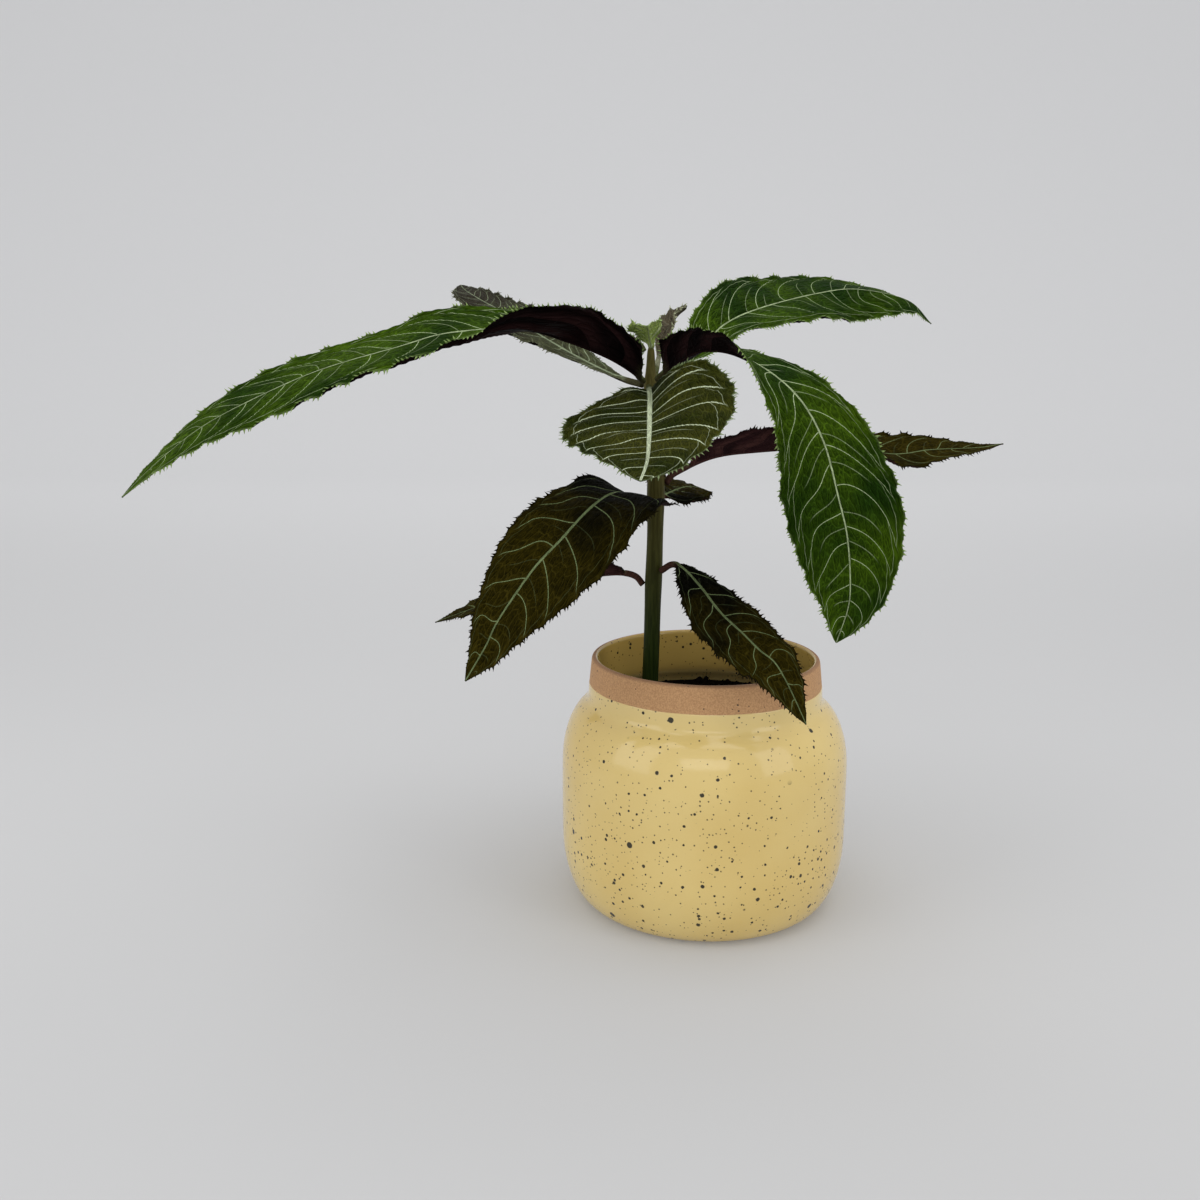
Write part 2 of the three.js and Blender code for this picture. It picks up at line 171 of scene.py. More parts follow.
PETIOLE_RADIUS = 1.6
TIP_RADIUS = 0.35
BLADE_THICKNESS = 0.5
WING_RISE = 0.05  # share of the blade over which a petiole's wing opens
TOOTH_SPACING = 1.9
TOOTH_LENGTH = 1.75
NARROWEST_TOOTHED = 2  # a narrower half of a blade has no teeth
QUILT_LIFT = 0.95  # how far the blade rises between veins, ripples at its margin and waves slowly
RIPPLE_LIFT = 0.8
WAVE_LIFT = 1.0
ROWS_PER_MM = 1.45
FEWEST_ROWS = 60
MOST_ROWS = 360
WIDE_LEAF = 12  # half width above which a leaf gets the finer grid
FINE_GRID = 84
COARSE_GRID = 48


# ---------- finishes ----------

class Field:
    """A value that changes over a surface. Arithmetic on it adds Math nodes."""

    def __init__(self, finish, socket):
        self.finish = finish
        self.socket = socket

    def calc(self, operation, *others):
        inputs = dict(enumerate((self, *others)))
        return self.finish.node("ShaderNodeMath", {"operation": operation}, inputs)

    def other(self, name):
        return Field(self.finish, self.socket.node.outputs[name])

    def __add__(self, value):
        return self.calc("ADD", value)

    __radd__ = __add__

    def __sub__(self, value):
        return self.calc("SUBTRACT", value)

    def __rsub__(self, value):
        return self.finish.node("ShaderNodeMath", {"operation": "SUBTRACT"}, {0: value, 1: self})

    def __mul__(self, value):
        return self.calc("MULTIPLY", value)

    __rmul__ = __mul__

    def __truediv__(self, value):
        return self.calc("DIVIDE", value)

    def __pow__(self, value):
        return self.calc("POWER", value)

    def __abs__(self):
        return self.calc("ABSOLUTE")


class Finish:
    """A material with one Principled shader."""

    def __init__(self, name, **constants):
        self.material = bpy.data.materials.new(name)
        self.material.use_nodes = True
        self.tree = self.material.node_tree
        self.shader = self.tree.nodes["Principled BSDF"]
        for socket, value in constants.items():
            self.put(self.shader.inputs[socket.replace("_", " ")], value)

    def put(self, socket, value):
        if isinstance(value, Field):
            self.tree.links.new(value.socket, socket)
        else:
            socket.default_value = value

    def node(self, kind, settings, inputs, output=0):
        made = self.tree.nodes.new(kind)
        for name, value in settings.items():
            setattr(made, name, value)
        for name, value in inputs.items():
            self.put(made.inputs[name], value)
        return Field(self, made.outputs[output])

    def coat(self, name, value):
        self.put(self.shader.inputs[name], value)

    def attribute(self, name):
        return self.node("ShaderNodeAttribute", {"attribute_name": name}, {}, "Fac")

    def place(self):
        return self.node("ShaderNodeTexCoord", {}, {}, "Object")

    def split(self, vector):
        x = self.node("ShaderNodeSeparateXYZ", {}, {0: vector})
        return x, x.other("Y"), x.other("Z")

    def join(self, x, y, z):
        return self.node("ShaderNodeCombineXYZ", {}, {0: x, 1: y, 2: z})

    def rise(self, value, low, high):
        """0 below low, 1 above high and smooth between."""
        settings = {"interpolation_type": "SMOOTHSTEP"}
        inputs = {"Value": value, "From Min": low, "From Max": high}
        return self.node("ShaderNodeMapRange", settings, inputs)

    def fall(self, value, low, high):
        return 1 - self.rise(value, low, high)

    def mix(self, share, first, second):
        return self.node("ShaderNodeMix", {"data_type": "RGBA"}, {0: share, 6: first, 7: second}, 2)

    def noise(self, vector, scale, detail=2.0, roughness=0.5):
        inputs = {"Vector": vector, "Scale": scale, "Detail": detail, "Roughness": roughness}
        return self.node("ShaderNodeTexNoise", {}, inputs, "Fac")

    def cells(self, vector, scale, feature="F1", randomness=1.0):
        inputs = {"Vector": vector, "Scale": scale, "Randomness": randomness}
        return self.node("ShaderNodeTexVoronoi", {"feature": feature}, inputs)

    def bump(self, height, distance, strength=1.0):
        inputs = {"Height": height, "Distance": distance, "Strength": strength}
        return self.node("ShaderNodeBump", {}, inputs)


def shade(red, green, blue):
    return (red, green, blue, 1.0)


def lightened(tone):
    red, green, blue = (2 * part + 0.003 for part in tone[:3])
    return shade(red, green, blue)


def spots(finish, place, size, share, radius):
    """1 inside round spots: one to a cell of the given size, in the given share of the cells."""
    cell = finish.cells(place, 1 / (size * MM))
    luck = finish.split(cell.other("Color"))
    reach = (radius / size) * (0.45 + 0.55 * luck[1])
    inside = finish.fall(cell - reach, -0.1 * radius / size, 0.1 * radius / size)
    return inside * finish.rise(share - luck[0], -0.01, 0.01)


def stoneware_finish():
    """Glossy creamy yellow glaze with dark specks and painted shade on the inner wall; bare clay on the
    outside of the rim.
    """
    finish = Finish("speckled_stoneware", Specular_IOR_Level=0.5)
    place = finish.place()
    x, y, z = finish.split(place)
    radius = (x * x + y * y) ** 0.5
    wobble = finish.noise(place, 60, 2)
    line = (GLAZE_LINE - 0.25) * MM + wobble * (0.5 * MM)
    outside = finish.rise(radius, (RIM_RADIUS - 0.75 * RIM_WALL) * MM, (RIM_RADIUS - 0.6 * RIM_WALL) * MM)
    clay = finish.rise(z - line, 0, 0.25 * MM) * outside

    drift = finish.noise(place, 14, 3)
    glaze = finish.mix(finish.rise(drift, 0.3, 0.7), shade(0.79, 0.60, 0.23), shade(0.73, 0.53, 0.18))
    thin = finish.rise(z, 0.100, GLAZE_LINE * MM) * outside
    glaze = finish.mix(thin * 0.35, glaze, shade(0.80, 0.64, 0.31))

    wander = finish.noise(place, 900, 2)
    bent = finish.node("ShaderNodeVectorMath", {"operation": "ADD"},
                       {0: place, 1: finish.join(wander * 0.0006, wander * 0.0005, wander * -0.0006)})
    low = finish.fall(z, 0.03, 0.10)
    crowd = finish.noise(place, 26, 2)
    fine = spots(finish, bent, 2.0, 0.15 + crowd * 0.7, 0.48)
    middling = spots(finish, bent, 3.7, 0.22 + low * 0.42 * finish.rise(crowd, 0.35, 0.55), 0.9)
    large = spots(finish, bent, 6.8, 0.06 + low * 0.22, 1.55)
    speck = finish.node("ShaderNodeMath", {"operation": "MAXIMUM"}, {0: fine * 0.85, 1: middling})
    speck = speck.calc("MAXIMUM", large)
    # painted shade: the glaze on the inner wall below the rim is darker and more olive, standing in for
    # the shade inside the pot
    painted_inner_shade = finish.fall(radius, 0.055, 0.0565) * finish.rise(z, 0.08, 0.09)
    glaze = finish.mix(painted_inner_shade * 0.8, glaze, shade(0.42, 0.27, 0.055))
    glazed = finish.mix(speck * 0.97, glaze, shade(0.016, 0.015, 0.008))

    grain = finish.noise(place, 1400, 3)
    body = finish.mix(finish.rise(grain, 0.35, 0.65), shade(0.58, 0.33, 0.15), shade(0.45, 0.24, 0.105))
    flecks = spots(finish, bent, 2.6, 0.3, 0.5)
    body = finish.mix(flecks * 0.9, body, shade(0.05, 0.028, 0.018))
    lip = finish.rise(z, (POT_HEIGHT - 1.6) * MM, (POT_HEIGHT - 0.2) * MM)
    body = finish.mix(lip * 0.55, body, shade(0.20, 0.10, 0.055))

    finish.coat("Base Color", finish.mix(clay, glazed, body))
    finish.coat("Roughness", 0.13 + clay * 0.6 + speck * 0.1)
    peel = finish.noise(place, 220, 1) * 0.4 + speck * -0.3
    height = peel * (1 - clay) + grain * clay
    finish.coat("Normal", finish.bump(height, 0.00012))
    return finish.material


def blade_pattern(finish, strands=1.0):
    """Masks of the veins and the fine net between them, the bulge of the blade, and a painted highlight on
    one side of each bulge.

    strands weakens the short veins and the loops along the margin.
    """
    from_rib = finish.attribute("from_rib")
    edge = finish.attribute("edge")
    rank = finish.attribute("rank")
    pitch = finish.attribute("pitch")
    run = finish.attribute("run")
    half = from_rib + edge
    share = from_rib / (half + 0.1)

    off_vein = abs(rank.calc("FRACT") - 0.5) * pitch
    rib_width = finish.attribute("rib_width")
    thick = 0.1 + rib_width * 0.34 - share * 0.15
    side_vein = finish.fall(off_vein, thick * 0.55, thick * 1.2) * finish.fall(share, 0.8, 0.93)
    between = (rank + 0.5).calc("FRACT")
    far = 1 - between
    off_loop = abs(share - 0.87 + far * far * 0.17) * half * (1 - far * 0.3)
    loop = finish.fall(off_loop, 0.08, 0.26) * (0.4 * strands)
    space = (rank + 0.5).calc("FLOOR")
    luck = finish.node("ShaderNodeTexWhiteNoise", {"noise_dimensions": "1D"}, {"W": space})
    off_short = abs(between - 0.35 - luck * 0.3) * pitch
    short = finish.fall(off_short, 0.08, 0.3) * finish.fall(share - luck * 0.35, 0.2, 0.4)
    short = short * (0.4 * strands)
    halo = finish.fall(off_vein, 0.2, 2.4)
    rib = finish.fall(from_rib, rib_width * 0.7, rib_width * 1.15)
    off_rib = finish.rise(share, 0.02, 0.2)
    vein = side_vein.calc("MAXIMUM", loop).calc("MAXIMUM", short)
    vein = vein * finish.rise(half, 3, 6)

    plane = finish.join(rank * 2.6, from_rib * 0.36, run * 0.004)
    cell = finish.cells(plane, 1.0, "DISTANCE_TO_EDGE", 0.9)
    net = finish.fall(cell, 0.01, 0.07)
    fine_plane = finish.join(rank * 8, from_rib * 1.1, run * 0.02)
    fine_cell = finish.cells(fine_plane, 1.0, "DISTANCE_TO_EDGE", 0.9)
    return {
        "vein": vein.calc("MAXIMUM", rib), "halo": halo, "net": net, "edge": edge,
        "puff": finish.rise(cell, 0.0, 0.35), "fine": finish.rise(fine_cell, 0.0, 0.3),
        # swell is a painted highlight: paler on one side of each bulge between side veins
        "swell": finish.rise(between, 0.35, 0.9) * finish.fall(share, 0.7, 1.0) * off_rib,
        "stalk": finish.attribute("stalk"), "tipward": finish.attribute("tipward"),
    }


def top_finish(name, blade, deep, vein_colour, stalk_colour, tooth_colour, sheen, shift=0.0,
               strands=1.0):
    """The upper face of a leaf: dark between pale veins, with a fine paler net.

    A positive shift puts the deep colour near the stem, a negative one near the tip.
    """
    finish = Finish(name, Specular_IOR_Level=sheen)
    pattern = blade_pattern(finish, strands)
    place = finish.place()
    drift = finish.noise(place, 30, 3)
    mottle = finish.noise(place, 260, 3)
    # shift moves the deep colour along the leaf; on the dark lower leaves it is painted shade near the
    # stem, from the leaves above
    depth = finish.rise(drift + shift * (0.4 - pattern["tipward"]), 0.32, 0.68)
    colour = finish.mix(depth, blade, deep)
    colour = finish.mix(finish.rise(mottle, 0.45, 0.75) * 0.45, colour, deep)
    colour = finish.mix(pattern["fine"] * 0.45, colour, deep)
    lighter = finish.mix(depth, lightened(blade), lightened(deep))
    colour = finish.mix(pattern["halo"] * 0.35, colour, lighter)
    colour = finish.mix(pattern["net"] * 0.5, colour, lighter)
    colour = finish.mix(pattern["vein"] * 0.92, colour, vein_colour)
    margin = finish.fall(pattern["edge"], 0.1, 0.8)
    colour = finish.mix(margin * 0.5, colour, tooth_colour)
    teeth = finish.fall(pattern["edge"], -0.5, 0.05)
    colour = finish.mix(teeth, colour, tooth_colour)
    colour = finish.mix(pattern["stalk"], colour, stalk_colour)
    finish.coat("Base Color", colour)
    finish.coat("Roughness", 0.5 + pattern["vein"] * 0.12 + mottle * 0.15)
    height = pattern["puff"] * 0.6 + pattern["fine"] * 0.25 - pattern["vein"] * 0.3
    finish.coat("Normal", finish.bump(height, 0.0014))
    return finish.material


def under_finish(name, blade, deep, vein_colour, stalk_colour):
    """The underside: maroon to almost black, with raised veins and a painted highlight on one side of each
    bulge between them.
    """
    finish = Finish(name, Specular_IOR_Level=0.015)
    pattern = blade_pattern(finish)
    place = finish.place()
    drift = finish.noise(place, 35, 3)
    colour = finish.mix(finish.rise(drift, 0.3, 0.7), blade, deep)
    # painted highlight: the vein colour laid on one side of each bulge, standing in for light on the
    # quilted relief
    colour = finish.mix(pattern["swell"] * 0.7, colour, vein_colour)
    colour = finish.mix(pattern["net"] * 0.3, colour, blade)
    colour = finish.mix(pattern["vein"] * 0.6, colour, vein_colour)
    colour = finish.mix(pattern["stalk"], colour, stalk_colour)
    finish.coat("Base Color", colour)
    finish.coat("Roughness", 0.52 + drift * 0.1)
    height = pattern["vein"] * 0.8 + pattern["net"] * 0.3 - pattern["puff"] * 0.3
    finish.coat("Normal", finish.bump(height, 0.0009))
    return finish.material


def stem_finish():
    """Green bark, olive and browner towards the top, with faint length lines."""
    finish = Finish("green_stem", Specular_IOR_Level=0.08)
    place = finish.place()
    x, y, z = finish.split(place)
    streak = finish.noise(finish.join(x, y, z * 0.08), 900, 3)
    height = finish.rise(z, 0.12, 0.24)
    line = finish.rise(streak, 0.35, 0.65)
    low = finish.mix(line, shade(0.009, 0.018, 0.002), shade(0.018, 0.031, 0.004))
    top = finish.mix(line, shade(0.058, 0.049, 0.010), shade(0.096, 0.083, 0.021))
    colour = finish.mix(height, low, top)
    dots = spots(finish, place, 2.4, 0.3, 0.3)
    colour = finish.mix(dots * 0.4, colour, shade(0.09, 0.085, 0.04))
    finish.coat("Base Color", colour)
    finish.coat("Roughness", 0.42 + streak * 0.15)
    finish.coat("Normal", finish.bump(streak + dots * 0.5, 0.0002))
    return finish.material


def soil_finish():
    """Dark moist peat."""
    finish = Finish("moist_peat", Specular_IOR_Level=0.04)
    place = finish.place()
    crumb = finish.noise(place, 420, 5, 0.65)
    patch = finish.noise(place, 60, 2)
    light = finish.rise(crumb, 0.35, 0.7)
    colour = finish.mix(light, shade(0.002, 0.0013, 0.0008), shade(0.009, 0.0055, 0.003))
    colour = finish.mix(finish.rise(patch, 0.5, 0.8) * 0.5, colour, shade(0.006, 0.004, 0.0022))
    finish.coat("Base Color", colour)
    finish.coat("Roughness", 0.82 + crumb * 0.15)
    finish.coat("Normal", finish.bump(crumb, 0.0008))
    return finish.material


# ---------- modelling helpers ----------

def deselect_all():
    if bpy.context.object and bpy.context.object.mode != "OBJECT":
        bpy.ops.object.mode_set(mode="OBJECT")
    bpy.ops.object.select_all(action="DESELECT")


def select_only(*pieces):
    deselect_all()
    for piece in pieces:
        piece.select_set(True)
    bpy.context.view_layer.objects.active = pieces[0]


def apply_place(piece):
    select_only(piece)
    bpy.ops.object.transform_apply(location=True, rotation=True, scale=True)


def subdivided(piece, levels):
    select_only(piece)
    round_off = piece.modifiers.new("round_off", "SUBSURF")
    round_off.levels = levels
    round_off.render_levels = levels
    bpy.ops.object.modifier_apply(modifier=round_off.name)


def declared(piece, node):
    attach(piece, "root")
    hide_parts(node)


def raised(name, rings, sides):
    """A closed skin raised ring by ring. Each ring is its centre and its radius, in millimetres."""
    deselect_all()
    first, radius = rings[0]
    bpy.ops.mesh.primitive_circle_add(
        vertices=sides, radius=radius * MM, fill_type="NGON", location=Vector(first) * MM)
    piece = bpy.context.object
    piece.name = name
    apply_place(piece)
    bpy.ops.object.mode_set(mode="EDIT")
    bpy.ops.mesh.select_all(action="SELECT")
    for (start, old), (end, new) in zip(rings, rings[1:]):
        move = (Vector(end) - Vector(start)) * MM
        bpy.ops.mesh.extrude_region_move(TRANSFORM_OT_translate={"value": move})
        scale = new / old
        bpy.ops.transform.resize(value=(scale, scale, 1), center_override=Vector(end) * MM)
    bpy.ops.mesh.select_all(action="SELECT")
    bpy.ops.mesh.normals_make_consistent(inside=False)
    bpy.ops.object.mode_set(mode="OBJECT")
    return piece


def arc(centre_r, centre_z, reach_r, reach_z, start, end, steps):
    """Radius and height of points on an arc of an ellipse, angles in degrees."""
    angles = [math.radians(start + (end - start) * i / steps) for i in range(steps + 1)]
    return [(centre_r + reach_r * math.cos(a), centre_z + reach_z * math.sin(a)) for a in angles]


# ---------- pot ----------

def pot_profile():
    round_in = BELLY_RADIUS - FOOT_RADIUS
    shoulder_in = BELLY_RADIUS - SHOULDER_DEPTH
    rim_inside = RIM_RADIUS - RIM_WALL
    clay_radius = RIM_RADIUS + CLAY_OVERHANG
    inside_belly = BELLY_RADIUS - BELLY_WALL
    underside = [(20, 0), (48, 0), (FOOT_RADIUS - 1.2, 0)]
    lower = arc(FOOT_RADIUS, LOWER_ROUND_HEIGHT, round_in, LOWER_ROUND_HEIGHT, -90, 0, 9)
    shoulder = arc(shoulder_in, SHOULDER_START, SHOULDER_DEPTH, SHOULDER_RISE, 0, 74, 8)
    neck = [(60.35, NECK_HEIGHT - 2.2), (NECK_RADIUS + 0.1, NECK_HEIGHT),
            (NECK_RADIUS - 0.1, GLAZE_LINE - 1), (NECK_RADIUS - 0.15, GLAZE_LINE - 0.25),
            (NECK_RADIUS - 0.3, GLAZE_LINE),
            (clay_radius + 0.05, GLAZE_LINE + 0.2), (clay_radius, GLAZE_LINE + 0.8)]
    lip = [(RIM_RADIUS + 0.1, POT_HEIGHT - 2.2), (RIM_RADIUS - 0.05, POT_HEIGHT - 1.1),
           (RIM_RADIUS - 0.5, POT_HEIGHT - 0.3), (RIM_RADIUS - 1.2, POT_HEIGHT),
           (rim_inside + 1.2, POT_HEIGHT), (rim_inside + 0.45, POT_HEIGHT - 0.35),
           (rim_inside + 0.1, POT_HEIGHT - 1.2), (rim_inside, POT_HEIGHT - 2.6)]
    inner_neck = [(rim_inside + 0.1, NECK_HEIGHT + 3), (rim_inside + 0.5, NECK_HEIGHT - 3)]
    inner_shoulder = arc(inside_belly - SHOULDER_DEPTH, SHOULDER_START, SHOULDER_DEPTH,
                         SHOULDER_RISE - 1, 66, 0, 6)
    inner_lower = arc(inside_belly - round_in, LOWER_ROUND_HEIGHT, round_in,
                      LOWER_ROUND_HEIGHT - POT_FLOOR, 0, -90, 5)
    floor = [(30, POT_FLOOR), (12, POT_FLOOR)]
    return underside + lower + shoulder + neck + lip + inner_neck + inner_shoulder + inner_lower + floor


def build_pot():
    rings = [((0, 0, z), r) for r, z in pot_profile()]
    pot = raised("glazed_pot", rings, POT_SIDES)
    subdivided(pot, 2)
    bpy.ops.object.shade_smooth()
    pot.data.materials.append(stoneware_finish())
    declared(pot, "pot")


# ---------- soil ----------

def crumbs(count, size, spread, rng, flat=1.0):
    """Small lumps lying on the soil, each a distorted icosphere, as one object."""
    deselect_all()
    bpy.ops.mesh.primitive_ico_sphere_add(subdivisions=1, radius=1)
    master = bpy.context.object
    shape = np.array([v.co for v in master.data.vertices])
    faces = [tuple(p.vertices) for p in master.data.polygons]
    bpy.data.objects.remove(master)
    vertices, polygons = [], []
    for _ in range(count):
        reach = spread * math.sqrt(rng.random())
        turn = rng.random() * 2 * math.pi
        centre = np.array([reach * math.cos(turn), reach * math.sin(turn), 0])
        lump = size * (0.5 + rng.random())
        stretch = lump * (0.6 + 0.8 * rng.random(3)) * (1, 1, flat)
        rough = shape * (1 + 0.35 * (rng.random((len(shape), 1)) - 0.5)) * stretch
        centre[2] = soil_height(centre[0], centre[1]) + 0.25 * lump * flat
        first = len(vertices) * len(shape)
        vertices.append(centre + rough)
        polygons += [tuple(first + i for i in face) for face in faces]
    mesh = bpy.data.meshes.new("crumbs")
    mesh.from_pydata((np.concatenate(vertices) * MM).tolist(), [], polygons)
    piece = bpy.data.objects.new("crumbs", mesh)
    bpy.context.scene.collection.objects.link(piece)
    return piece


def soil_height(x, y):
    """Height of the soil's surface: a low mound round the stem, with dips and humps."""
    from_stem = np.hypot(x - STEM_LINE[1][0][0], y)
    mound = 2.0 * np.exp(-(from_stem / 14) ** 2)
    humps = 0.7 * np.sin(x * 0.13 + 0.8) * np.cos(y * 0.11 - 0.4) + 0.4 * np.sin(x * 0.31 + y * 0.23)
    grit = 0.45 * np.sin(x * 0.9 + 1.3 * np.sin(y * 0.7)) * np.sin(y * 1.1 + 0.6 * np.sin(x * 0.8))
    return SOIL_LEVEL - 1.5 + mound + humps + grit


def build_soil():
    rng = np.random.default_rng(7)
    inside = BELLY_RADIUS - BELLY_WALL - SOIL_GAP
    round_in = BELLY_RADIUS - FOOT_RADIUS
    lower = arc(inside - round_in, LOWER_ROUND_HEIGHT, round_in,
                LOWER_ROUND_HEIGHT - POT_FLOOR - SOIL_GAP, -90, 0, 4)
    inner_rise = SHOULDER_RISE - 1
    top_angle = math.degrees(math.asin((SOIL_LEVEL - 1.5 - SHOULDER_START) / inner_rise))
    upper = arc(inside - SHOULDER_DEPTH, SHOULDER_START, SHOULDER_DEPTH, inner_rise, 0, top_angle, 3)
    edge = upper[-1][0]
    rings = [((0, 0, POT_FLOOR + SOIL_GAP), 20)]
    rings += [((0, 0, z), r) for r, z in lower + upper]
    rings += [((0, 0, SOIL_LEVEL), edge * (1 - i / SOIL_RINGS)) for i in range(1, SOIL_RINGS)]
    soil = raised("peat_soil", rings, SOIL_SIDES)
    places = np.array([v.co for v in soil.data.vertices]) / MM
    radius = np.hypot(places[:, 0], places[:, 1])
    on_top = (places[:, 2] > SOIL_LEVEL - 0.1) & (radius < edge - 0.5)
    level = soil_height(places[:, 0], places[:, 1])
    places[on_top, 2] = level[on_top]
    soil.data.vertices.foreach_set("co", (places * MM).ravel())
    soil.data.update()
    bpy.ops.object.shade_smooth()
    soil.data.materials.append(soil_finish())
    parts = [crumbs(1100, 1.1, edge - 3, rng), crumbs(160, 2.2, edge - 4, rng, 0.6)]
    for part in parts:
        part.data.materials.append(soil.data.materials[0])
    select_only(soil, *parts)
    bpy.ops.object.join()
    declared(soil, "potting_soil")


# ---------- stem ----------

def build_stem():
    rings = [(STEM_LINE[0][0], 2.2)] + list(STEM_LINE) + [((-29, 0, 281), 1.0)]
    stem = raised("green_stem", rings, STEM_SIDES)
    subdivided(stem, 2)
    bpy.ops.object.shade_smooth()
    stem.data.materials.append(stem_finish())
    declared(stem, "stem")


# ---------- leaves ----------

def along(values, share):
    """A value between even steps of a short list, easing a little at each step."""
    values = np.asarray(values, float)
    place = np.clip(share, 0, 1) * (len(values) - 1)
    step = np.minimum(place.astype(int), len(values) - 2)
    rest = place - step
    eased = (rest * rest * (3 - 2 * rest) + rest) / 2
    return values[step] * (1 - eased) + values[step + 1] * eased


def midrib_line(points):
    """Points every small step of a smooth line through the given points, with their distances."""
    points = np.asarray(points, float)
    padded = np.vstack([2 * points[0] - points[1], points, 2 * points[-1] - points[-2]])
    spans = len(points) - 1
    place = np.linspace(0, spans, spans * 40 + 1)
    span = np.minimum(place.astype(int), spans - 1)
    rest = (place - span)[:, None]
    before, start, end, after = (padded[span + i] for i in range(4))
    pull_in = (end - before) / 2
    pull_out = (after - start) / 2
    line = (2 * start - 2 * end + pull_in + pull_out) * rest**3
    line = line + (3 * end - 3 * start - 2 * pull_in - pull_out) * rest**2 + pull_in * rest + start
    lengths = np.concatenate([[0], np.cumsum(np.linalg.norm(np.diff(line, axis=0), axis=1))])
    return line, lengths


class Leaf:
    """One leaf's shape: places on it from a share of its length and a share across it."""

    def __init__(self, name, measures):
        self.name = name
        self.measures = measures
        self.line, self.lengths = midrib_line(measures["midrib"])
        self.length = self.lengths[-1]
        self.petiole_share = measures["petiole"] / self.length
        self.rng = np.random.default_rng(sum(map(ord, name)))
        self.waves = self.rng.random((6, 3))

    def on_line(self, share):
        distance = np.clip(share, 0, 1) * self.length
        return np.stack([np.interp(distance, self.lengths, self.line[:, i]) for i in range(3)], -1)

    def blade_share(self, share):
        return (share - self.petiole_share) / (1 - self.petiole_share)

    def half_width(self, blade, is_right):
        leaf = self.measures
        power = math.log(0.5) / math.log(leaf["widest"])
        inside = np.clip(blade, 0, 1)
        exponent = np.where(inside < leaf["widest"], leaf["base"], leaf["tip"])
        swell = np.clip(np.sin(np.pi * inside**power), 0, 1) ** exponent
        wing = leaf["wing"] * np.clip(inside / WING_RISE, 0, 1) * (1 - inside) ** 3
        half = np.where(is_right, leaf["half"][1], leaf["half"][0])
        return np.where(blade > 0, half * swell + wing, 0)

    def vein_rank(self, blade, across):
        """Counts side veins from base to tip; a vein runs where its fraction is a half."""
        leaf = self.measures
        reach = np.abs(across)
        is_right = across >= 0
        fullness = self.half_width(blade, is_right) / max(leaf["half"])
        advance = fullness * (0.05 * reach + 0.08 * reach**2 + 0.08 * reach**4)
        sway = 0
        for i, (size, phase, tilt) in enumerate(self.waves):
            angle = (i + 2) * 5 * blade + 6.3 * phase + (3 + 3 * tilt) * across
            sway = sway + (0.3 + size) * np.sin(angle)
        side = np.clip(across * 40, -1, 1) * 0.22
        return leaf["veins"] * (blade - advance) + 0.06 * sway + side

    def surface(self, share, across, face, relief=1.0):
        """Places for shares along and across the leaf.

        Across runs from -1 at the left margin to 1 at the right. face is 1 on top and -1 below.
        """
        leaf = self.measures
        blade = self.blade_share(share)
        centre = self.on_line(share)
        step = 0.004
        forward = self.on_line(share + step) - self.on_line(share - step)
        forward = forward / np.linalg.norm(forward, axis=-1, keepdims=True)
        heading = math.radians(leaf["heading"])
        level = np.array([math.sin(heading), -math.cos(heading), 0.0])
        side = level - (forward @ level)[..., None] * forward
        side = side / np.linalg.norm(side, axis=-1, keepdims=True)
        up = np.cross(side, forward)
        roll = np.radians(along(leaf["roll"], share))[..., None]
        side, up = side * np.cos(roll) - up * np.sin(roll), up * np.cos(roll) + side * np.sin(roll)

        is_right = across >= 0
        reach = np.abs(across)
        stalk = PETIOLE_RADIUS + (TIP_RADIUS - PETIOLE_RADIUS) * np.clip(blade, 0, 1) ** 0.6
        blade_width = self.half_width(blade, is_right)
        width = np.maximum(stalk, blade_width)
        opening = np.clip((width - stalk) / PETIOLE_RADIUS, 0, 1)
        rise = np.radians(np.where(is_right, along(leaf["right"], blade), along(leaf["left"], blade)))
        curl = np.radians(np.where(is_right, 0, along(leaf["curl"], blade)))
        chord = ((rise + curl * reach) * opening)[..., None]
        slope = ((rise + 2 * curl * reach) * opening * np.minimum(1, reach * 6))[..., None]
        outward = np.where(is_right[..., None], side, -side)
        run = share * self.length
        ragged = 0.35 * np.sin(run * 0.95 + 3 * across)
        ragged = ragged + 0.3 * np.sin(run * 0.41 + self.waves[1, 0] * 9 + across)
        ragged = (ragged - 0.4) * opening * np.clip(width / 8, 0, 1)
        out = (width * reach + ragged * reach**5)[..., None]
        place = centre + outward * out * np.cos(chord) + up * out * np.sin(chord)
        normal = up * np.cos(slope) - outward * np.sin(slope)

        in_stalk = np.clip(1 - (width * reach / stalk) ** 2, 0, 1)
        thin = BLADE_THICKNESS / 2 * np.sqrt(np.clip(1 - reach**8, 0, 1))
        rib = stalk * np.sqrt(in_stalk)
        rib = np.where(face > 0, rib * (1 - 0.85 * opening), rib)
        offset = np.maximum(thin, rib) * face

        rank = self.vein_rank(blade, across)
        fullness = blade_width / max(leaf["half"])
        quilt = 1.5 * np.abs(np.sin(np.pi * (rank - 0.5))) ** 0.8 - 0.6
        quilt = quilt * np.clip(fullness * 1.4, 0, 1) * np.clip(reach * 5, 0, 1) * (1 - 0.5 * reach)
        ripple = np.sin(2 * np.pi * rank + 1) * reach**3
        slow = np.sin(2 * np.pi * (2.2 * blade + self.waves[0, 0]) + 2 * across) * reach**2
        waves = QUILT_LIFT * quilt + RIPPLE_LIFT * ripple + WAVE_LIFT * slow
        lift = relief * opening * fullness * waves
        return place + normal * (offset + lift)[..., None]


